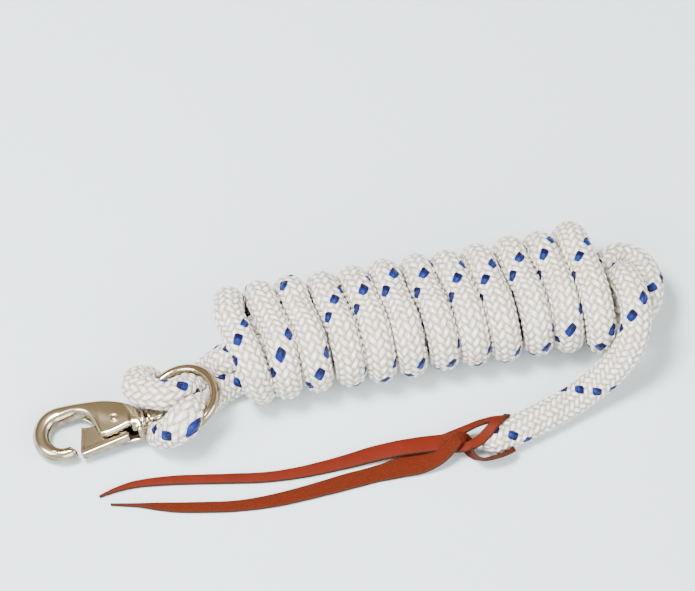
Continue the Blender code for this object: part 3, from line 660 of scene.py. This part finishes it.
def line_distance(p, knots, closed=False):
    """Distance to a round bar through rows of x, y, z, radius."""
    rows = np.asarray(knots, float)
    nexts = np.roll(rows, -1, 0) if closed else rows[1:]
    best = np.full(p[0].shape, np.inf)
    for a, b in zip(rows, nexts):
        e = b[:3] - a[:3]
        w = [p[k] - a[k] for k in range(3)]
        t = np.clip(sum(w[k] * e[k] for k in range(3)) / (e @ e), 0, 1)
        gap = np.sqrt(sum((w[k] - e[k] * t) ** 2 for k in range(3)))
        best = np.minimum(best, gap - (a[3] + (b[3] - a[3]) * t))
    return best


def rounded(a, b, radius):
    """The overlap of two fields with its edge rounded."""
    a, b = a + radius, b + radius
    return np.minimum(np.maximum(a, b), 0) + np.hypot(np.maximum(a, 0), np.maximum(b, 0)) - radius


def joined(a, b, blend):
    """The union of two fields with a fillet."""
    share = np.clip(0.5 + 0.5 * (b - a) / blend, 0, 1)
    return b + (a - b) * share - blend * share * (1 - share)


def cut(a, b, blend=0.3):
    return -joined(-a, b, blend)


def solid(name, field, low, high, step, surface):
    """A closed mesh of the field's zero surface, in millimetres, with vertices pulled exactly onto it."""
    low, high = np.array(low, float), np.array(high, float)
    counts = np.ceil((high - low) / step).astype(int) + 1
    grid = np.meshgrid(*[low[k] + step * np.arange(counts[k]) for k in range(3)], indexing="ij")
    inside = field(grid) < 0
    total = sum(inside[i:counts[0] - 1 + i, j:counts[1] - 1 + j, k:counts[2] - 1 + k].astype(int)
                for i in (0, 1) for j in (0, 1) for k in (0, 1))
    mixed = (total > 0) & (total < 8)
    index = np.full(mixed.shape, -1)
    index[mixed] = np.arange(mixed.sum())
    start = low + step * (np.argwhere(mixed) + 0.5)
    spots = start.copy()
    for _ in range(4):
        value = field([spots[:, k] for k in range(3)])
        slope = np.stack([(field([spots[:, m] + 0.02 * (m == k) for m in range(3)])
                           - field([spots[:, m] - 0.02 * (m == k) for m in range(3)])) / 0.04
                          for k in range(3)], 1)
        spots -= slope * (value / np.maximum((slope ** 2).sum(1), 0.2))[:, None]
        spots = start + np.clip(spots - start, -0.8 * step, 0.8 * step)
    faces = []
    for axis in range(3):
        one, two = [k for k in range(3) if k != axis]
        near = [slice(1, counts[k] - 1) for k in range(3)]
        far = list(near)
        near[axis], far[axis] = slice(0, counts[axis] - 1), slice(1, counts[axis])
        here, there = inside[tuple(near)], inside[tuple(far)]
        at = np.argwhere(here != there)
        flips = here[here != there] ^ (axis == 1)
        at[:, one] += 1
        at[:, two] += 1
        ring = []
        for i, j in ((0, 0), (1, 0), (1, 1), (0, 1)):
            cell = at.copy()
            cell[:, one] -= i
            cell[:, two] -= j
            ring.append(index[tuple(cell.T)])
        ring = np.stack(ring, 1)
        faces.append(np.where(flips[:, None], ring, ring[:, ::-1]))
    mesh = bpy.data.meshes.new(name)
    mesh.from_pydata([tuple(v) for v in spots * MM], [], np.vstack(faces).tolist())
    mesh.validate()
    mesh.shade_smooth()
    mesh.materials.append(surface)
    return link(name, mesh)


# ---------------------------------------------------------------- snap

HOOK_X, HOOK_Y = -42.0, 3.75
HOOK_R = 11.35
PIN_X, PIN_Y = -14.4, 3.0
PIN_R = 1.6
PIN_HOLE_R = 2.0
COLLAR_R = 6.4


def turned(radius, start, end, count, outward):
    """Points on the hook's bend, at a radius that changes from root to tip."""
    out = []
    for i in range(count + 1):
        t = i / count
        a = math.radians(start + (end - start) * t)
        share = (math.degrees(a) - 75) / (289 - 75)
        half = 4.1 + 0.5 * math.sin(math.pi * min(max(share * 1.25, 0), 1)) - 1.0 * share ** 2
        r = radius + outward * half
        out.append((HOOK_X + r * math.cos(a), HOOK_Y + r * math.sin(a), 0))
    return out


BODY_KNOTS = (
    [(-2.0, 6.0, 0), (-4.5, 8.2, 0), (-8.0, 10.8, 0), (-12.5, 13.0, 0), (-18.0, 14.9, 0),
     (-26.0, 16.8, 0), (-34.0, 18.4, 0)]
    + turned(HOOK_R, 82, 286, 22, 1)
    + [(-36.5, -8.6, 0)]
    + turned(HOOK_R, 286, 84, 18, -1)
    + [(-37.4, 11.4, 0), (-33.6, 11.6, 0), (-30.6, 10.8, 0), (-28.0, 8.6, 0), (-26.2, 5.4, 0),
       (-25.0, 1.6, 0), (-24.2, -1.6, 0), (-22.9, -4.2, 0), (-20.8, -5.0, 0), (-16.3, -4.6, 0),
       (-10.5, -3.4, 0), (-6.3, -2.7, 0), (-4.6, -3.6, 0), (-4.4, -6.2, 0), (-3.2, -7.8, 0),
       (-1.4, -7.2, 0), (-0.8, -5.4, 0), (-1.2, 0.0, 0)]
)
LOWER_CHEEK = [
    (-24.0, 2.0), (-22.0, -5.0), (-14.0, -7.0), (-9.7, -7.2), (-4.6, -7.4), (-2.0, -6.8), (-1.0, -4.0),
    (-2.0, 2.0),
]
POCKET = [
    (-35.4, -20.0), (-4.5, -20.0), (-4.5, 4.4), (-8.0, 7.6), (-14.0, 10.4), (-24.0, 12.2), (-35.4, 12.0),
]
GATE_WEB = [
    (-32.2, 4.2), (-34.8, -9.4), (-34.5, -10.8), (-33.5, -11.2), (-11.6, -7.6), (-9.6, -7.0),
    (-8.8, -5.6), (-9.8, -4.0), (-13.4, -3.6), (-12.0, 0.4), (-11.0, 2.6), (-11.6, 5.0), (-14.0, 6.4),
    (-17.0, 5.6), (-20.0, 3.8), (-26.0, 3.6),
]
GATE_RECESS = [(-31.0, 4.4), (-33.2, -8.0), (-12.4, -4.9), (-14.0, -3.0), (-22.0, 4.4)]


BODY_OUTLINE = spline(BODY_KNOTS + BODY_KNOTS[:1], 0.9)[:-1]


def body_field(p):
    x, y, z = p
    half = np.interp(x, [-42, -30, -22, -8, 0], [4.3, 5.3, 6.2, 6.2, 5.8])
    edge = np.interp(x, [-46, -36, -28, -18], [3.9, 3.4, 2.6, 1.9])
    plan = outline_distance(x, y, BODY_OUTLINE)
    half = half + 0.5 * np.exp(-((y - np.interp(x, [-40, -30, -14, 0], [17, 13, 5, 0])) / 5.0) ** 2)
    field = rounded(plan, np.abs(z) - half, edge)
    cheek = rounded(outline_distance(x, y, LOWER_CHEEK), np.abs(z + 4.6) - 1.5, 0.7)
    field = joined(field, cheek, 0.8)
    radius = np.hypot(y, z)
    flare = np.interp(x, [-6, -1, 0.6], [COLLAR_R + 0.6, COLLAR_R, COLLAR_R])
    collar = rounded(radius - flare, np.abs(x + 3) - 3.6, 0.7)
    field = joined(field, collar, 1.6)
    groove = np.hypot(radius - COLLAR_R, x + 1.6) - 0.45
    field = cut(field, groove, 0.4)
    field = cut(field, rounded(outline_distance(x, y, POCKET), np.abs(z) - 3.4, 0.3), 0.7)
    field = cut(field, rounded(radius - 5.2, np.abs(x + 5.5) - 3.0, 0.3))
    field = cut(field, rounded(radius - 3.1, np.abs(x) - 4, 0.2), 0.5)
    return cut(field, np.hypot(x - PIN_X, y - PIN_Y) - PIN_HOLE_R, 0.3)


def gate_field(p):
    x, y, z = p
    field = rounded(outline_distance(x, y, GATE_WEB), np.abs(z) - 3.0, 0.45)
    serration = 0.16 * np.sin(2 * np.pi * x / 1.25) * np.clip(2.6 - np.abs(z), 0, 1)
    front = -(y - np.interp(x, [-33.5, -11.6], [-11.2, -7.6]) - 0.35)
    field = field + np.where((front > -0.9) & (x < -13) & (x > -33), serration, 0)
    recess = rounded(outline_distance(x, y, GATE_RECESS), 1.9 - np.abs(z), 0.3)
    field = cut(field, recess, 0.4)
    return cut(field, np.hypot(x - PIN_X, y - PIN_Y) - PIN_HOLE_R, 0.3)


def pin_field(p):
    x, y, z = p
    radius = np.hypot(x - PIN_X, y - PIN_Y)
    shaft = rounded(radius - PIN_R, np.abs(z) - 6.4, 0.1)
    head = rounded(radius - 2.45, np.abs(np.abs(z) - 6.45) - 0.5, 0.35)
    field = np.minimum(shaft, head)
    top = np.abs(z) - 6.95
    return cut(field, np.hypot(radius - 1.35, top) - 0.3, 0.25)


def in_snap(item, body):
    item.matrix_world = snap_matrix()
    item.data.transform(item.matrix_world)
    item.matrix_world = Matrix.Identity(4)
    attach(item, body)


def eye_field(p):
    x, y, z = p
    base = [(BASE_X, 9.0 - 3.0 * i, 0.0, RING_WIRE) for i in range(7)]
    field = line_distance(p, ring_arc(8.0) + base, closed=True)
    near = BASE_X - RING_WIRE
    width = np.interp(x, [near - 1.6, BASE_X + 1.6], [3.4, 4.3])
    block = rounded(np.abs(y) - width, np.maximum(np.abs(z) - 3.2, np.abs(x - BASE_X + 0.9) - 3.4), 0.5)
    field = joined(field, block, 0.9)
    radius = np.hypot(y, z)
    stem = rounded(radius - 2.0, np.abs(x - near / 2 + 2.4) - near / 2 - 3.0, 0.2)
    field = joined(field, stem, 0.5)
    field = joined(field, rounded(radius - 4.3, np.abs(x - near + 1.35) - 0.65, 0.35), 0.4)
    return joined(field, rounded(radius - 3.6, np.abs(x + 3.9) - 0.8, 0.4), 0.3)


def nickel_material():
    """Polished nickel plate on a cast snap: faint orange peel, hairline wear, painted shade in the hollows and
    on the upright flanks.
    """
    n = Nodes("nickel_plate_polished")
    spot = n.add("ShaderNodeTexCoord").outputs["Object"]
    peel = n.noise(spot, 260.0, 3.0)
    haze = n.noise(spot, 55.0, 4.0)
    tint = n.mix(haze, (0.47, 0.395, 0.27, 1), (0.58, 0.505, 0.37, 1))
    edge = n.add("ShaderNodeNewGeometry").outputs["Pointiness"]
    # painted shade: hollows, where pointiness is low, are darkened towards dark brown
    painted_hollow_shade = n.math("MULTIPLY", n.math("SUBTRACT", 0.5, edge), 6.0, clamp=True)
    facing = n.add("ShaderNodeSeparateXYZ")
    n.plug(n.add("ShaderNodeNewGeometry").outputs["Normal"], facing.inputs[0])
    # painted shade and reflection: faces that stand upright are darkened towards brown in noisy patches
    upright = n.math("SUBTRACT", 0.80, n.math("ABSOLUTE", facing.outputs[2]))
    painted_flank_shade = n.math("MULTIPLY", upright, 2.0, clamp=True)
    painted_flank_shade = n.math("MULTIPLY", painted_flank_shade, n.math("MULTIPLY_ADD", peel, 1.6, 0.0, clamp=True))
    tint = n.mix(painted_flank_shade, tint, (0.165, 0.12, 0.072, 1))
    tint = n.mix(painted_hollow_shade, tint, (0.12, 0.08, 0.045, 1))
    rough = n.math("MULTIPLY_ADD", haze, 0.16, 0.08)
    n.set(Base_Color=tint, Metallic=1.0, Roughness=rough, Normal=n.bump(peel, 0.00012, 0.25))
    return n.material


def steel_material():
    """Bare spring wire."""
    n = Nodes("spring_wire")
    spot = n.add("ShaderNodeTexCoord").outputs["Object"]
    colour = n.mix(n.noise(spot, 400.0), (0.25, 0.25, 0.26, 1), (0.42, 0.42, 0.43, 1))
    n.set(Base_Color=colour, Metallic=1.0, Roughness=0.34)
    return n.material


# the gate's compression spring, between the gate's web and the body's spine, in the snap's frame
SPRING_X = -21.2
SPRING_R = 2.0
SPRING_WIRE = 0.35
SPRING_FEET = (4.8, 10.8)
SPRING_TURNS = 5
SPRING_STEPS = 28               # rings of points in one turn
SPRING_SIDES = 10


def spring_mesh():
    """A helical wire coil along Y, closed at both ends."""
    count = SPRING_TURNS * SPRING_STEPS + 1
    low, high = SPRING_FEET
    vertices, faces = [], []
    for i in range(count):
        a = 2 * math.pi * i / SPRING_STEPS
        out = np.array([math.cos(a), 0.0, math.sin(a)])
        y = low + SPRING_WIRE + (high - low - 2 * SPRING_WIRE) * i / (count - 1)
        centre = np.array([SPRING_X, y, 0.0]) + SPRING_R * out
        for k in range(SPRING_SIDES):
            b = 2 * math.pi * k / SPRING_SIDES
            spot = centre + SPRING_WIRE * (math.cos(b) * out + math.sin(b) * np.array([0.0, 1.0, 0.0]))
            vertices.append(tuple(spot * MM))
    for i in range(count - 1):
        for k in range(SPRING_SIDES):
            near, far = i * SPRING_SIDES, (i + 1) * SPRING_SIDES
            m = (k + 1) % SPRING_SIDES
            faces.append((near + k, near + m, far + m, far + k))
    faces.append(tuple(range(SPRING_SIDES))[::-1])
    faces.append(tuple(range((count - 1) * SPRING_SIDES, count * SPRING_SIDES)))
    mesh = bpy.data.meshes.new("gate_return_spring")
    mesh.from_pydata(vertices, [], faces)
    mesh.shade_smooth()
    mesh.materials.append(steel_material())
    return mesh


NICKEL = nickel_material()
body = solid("bull_snap_body", body_field, (-59, -12, -7.5), (2, 21, 7.5), 0.42, NICKEL)
in_snap(body, "snap")
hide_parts("snap_body")
gate = solid("bull_snap_gate", gate_field, (-36.5, -13, -4), (-7, 8, 4), 0.32, NICKEL)
in_snap(gate, "gate")
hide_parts("snap_gate")
pin = solid("gate_rivet", pin_field, (-18, -0.6, -8), (-10.8, 6.6, 8), 0.28, NICKEL)
in_snap(pin, "snap")
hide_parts("gate_pin")
eye = solid("swivel_eye_ring", eye_field, (-6, -20.5, -5.5), (EYE_REACH + 21, 20.5, 5.5), 0.42, NICKEL)
eye.data.transform(EYE_PLACE)
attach(eye, "lead")
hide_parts("swivel_eye")
spring = link("gate_return_spring", spring_mesh())
in_snap(spring, "snap")
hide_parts("gate_spring")
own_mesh(spring)


# ---------------------------------------------------------------- floor and light

def stage():
    work = bmesh.new()
    bmesh.ops.create_grid(work, x_segments=2, y_segments=2, size=3.0)
    mesh = bpy.data.meshes.new("floor")
    work.to_mesh(mesh)
    work.free()
    floor = link("floor", mesh)
    n = Nodes("floor_paper")
    n.set(Base_Color=(0.66, 0.745, 0.785, 1), Roughness=0.9)
    mesh.materials.append(n.material)


def studio():
    """A pale room in front, and a dim warm one overhead and behind for the metal to mirror."""
    world = bpy.data.worlds.new("studio")
    world.use_nodes = True
    tree = world.node_tree
    way = tree.nodes.new("ShaderNodeTexCoord").outputs["Generated"]
    toward = tree.nodes.new("ShaderNodeVectorMath")
    toward.operation = "DOT_PRODUCT"
    tree.links.new(way, toward.inputs[0])
    toward.inputs[1].default_value = (-0.18, 0.52, 0.83)
    ramp = tree.nodes.new("ShaderNodeValToRGB")
    tree.links.new(toward.outputs["Value"], ramp.inputs[0])
    stops = ramp.color_ramp.elements
    stops[0].position, stops[0].color = 0.0, (0.90, 0.95, 0.98, 1)
    stops[1].position, stops[1].color = 1.0, (0.42, 0.35, 0.24, 1)
    between = {
        0.42: (0.90, 0.95, 1.0, 1), 0.60: (0.55, 0.47, 0.35, 1),
        0.72: (0.20, 0.145, 0.085, 1), 0.90: (0.36, 0.29, 0.19, 1),
    }
    for spot, colour in between.items():
        stops.new(spot).color = colour
    background = tree.nodes["Background"]
    tree.links.new(ramp.outputs[0], background.inputs[0])
    background.inputs[1].default_value = 1.35
    bpy.context.scene.world = world


def area_light(name, spot, size, power, colour=(1, 1, 1)):
    data = bpy.data.lights.new(name, "AREA")
    data.shape = "DISK"
    data.size = size
    data.energy = power
    data.color = colour
    item = bpy.data.objects.new(name, data)
    bpy.context.scene.collection.objects.link(item)
    item.location = spot
    item.rotation_euler = (Vector((0, 0, 0.02)) - Vector(spot)).to_track_quat("-Z", "Y").to_euler()


stage()
studio()
area_light("key", (-0.45, 0.02, 1.45), 0.5, 58)
area_light("side", (-1.1, -0.2, 0.9), 0.7, 16)
area_light("fill", (0.9, -0.6, 0.9), 0.9, 12)
area_light("front", (-0.2, -1.3, 0.55), 0.9, 12, (1.0, 0.97, 0.92))
